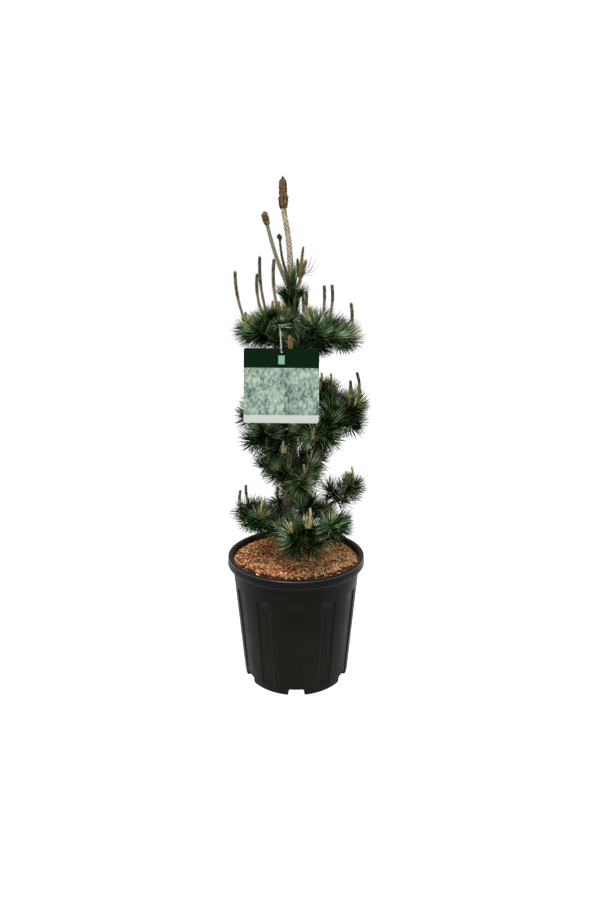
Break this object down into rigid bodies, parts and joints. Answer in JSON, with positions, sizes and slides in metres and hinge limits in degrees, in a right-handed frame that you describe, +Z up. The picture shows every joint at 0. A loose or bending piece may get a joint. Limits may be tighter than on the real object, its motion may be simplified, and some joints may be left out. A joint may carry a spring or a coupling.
{
  "type": "potted japanese white pine",
  "caption": "Japanese white pine trained in tiers, with short needles and upright candles, in a round fluted black nursery pot topped with fine bark, with a plain hanging label.",
  "frame": {"origin": "centre of the pot's flat underside, on the ground that the pot stands on", "axes": "+Z up along the trunk; -Y is the front, the side that the label hangs on; +X is to the right seen from the front"},
  "size_m": [0.2919, 0.2996, 0.9843],
  "materials": {
    "pot_black": "satin black moulded plastic",
    "mulch_bark": "loose fine bark chips",
    "potting_soil": "moist dark potting soil",
    "bark": "rough brown bark",
    "needles": "blue-green needles",
    "buds": "tan new shoots with brown bud scales",
    "label_card": "printed plastic card",
    "tie_white": "white plastic tie"
  },
  "bodies": {
    "root": {"bark_mulch": "mulch_bark", "bough_low_back": "bark", "bough_low_back_left": "bark", "bough_low_back_right": "bark", "bough_low_front": "bark", "bough_low_front_right": "bark", "bough_low_inner_right": "bark", "bough_low_left": "bark", "bough_low_right": "bark", "bough_mid_back_left": "bark", "bough_mid_back_right": "bark", "bough_mid_front_left": "bark", "bough_mid_front_right": "bark", "bough_mid_left": "bark", "bough_mid_right": "bark", "bough_up_back_left": "bark", "bough_up_back_right": "bark", "bough_up_front_left": "bark", "bough_up_front_right": "bark", "bough_up_left": "bark", "bough_up_right": "bark", "bough_waist_back": "bark", "foliage_low_back": "needles", "foliage_low_back_left": "needles", "foliage_low_back_right": "needles", "foliage_low_front": "needles", "foliage_low_front_left": "needles", "foliage_low_front_right": "needles", "foliage_low_inner_right": "needles", "foliage_low_left": "needles", "foliage_low_right": "needles", "foliage_mid_back_left": "needles", "foliage_mid_back_right": "needles", "foliage_mid_front_left": "needles", "foliage_mid_front_right": "needles", "foliage_mid_left": "needles", "foliage_mid_right": "needles", "foliage_top_tuft": "needles", "foliage_up_back_left": "needles", "foliage_up_back_right": "needles", "foliage_up_front_left": "needles", "foliage_up_front_right": "needles", "foliage_up_left": "needles", "foliage_up_right": "needles", "foliage_waist_back": "needles", "foliage_waist_front": "needles", "foliage_waist_left": "needles", "foliage_waist_right": "needles", "hang_label": "label_card", "label_tie": "tie_white", "leader_bud": "buds", "pot": "pot_black", "potting_soil": "potting_soil", "side_leader_back": "buds", "side_leader_left": "buds", "side_leader_right": "buds", "trunk": "bark"}
  },
  "joints": []
}
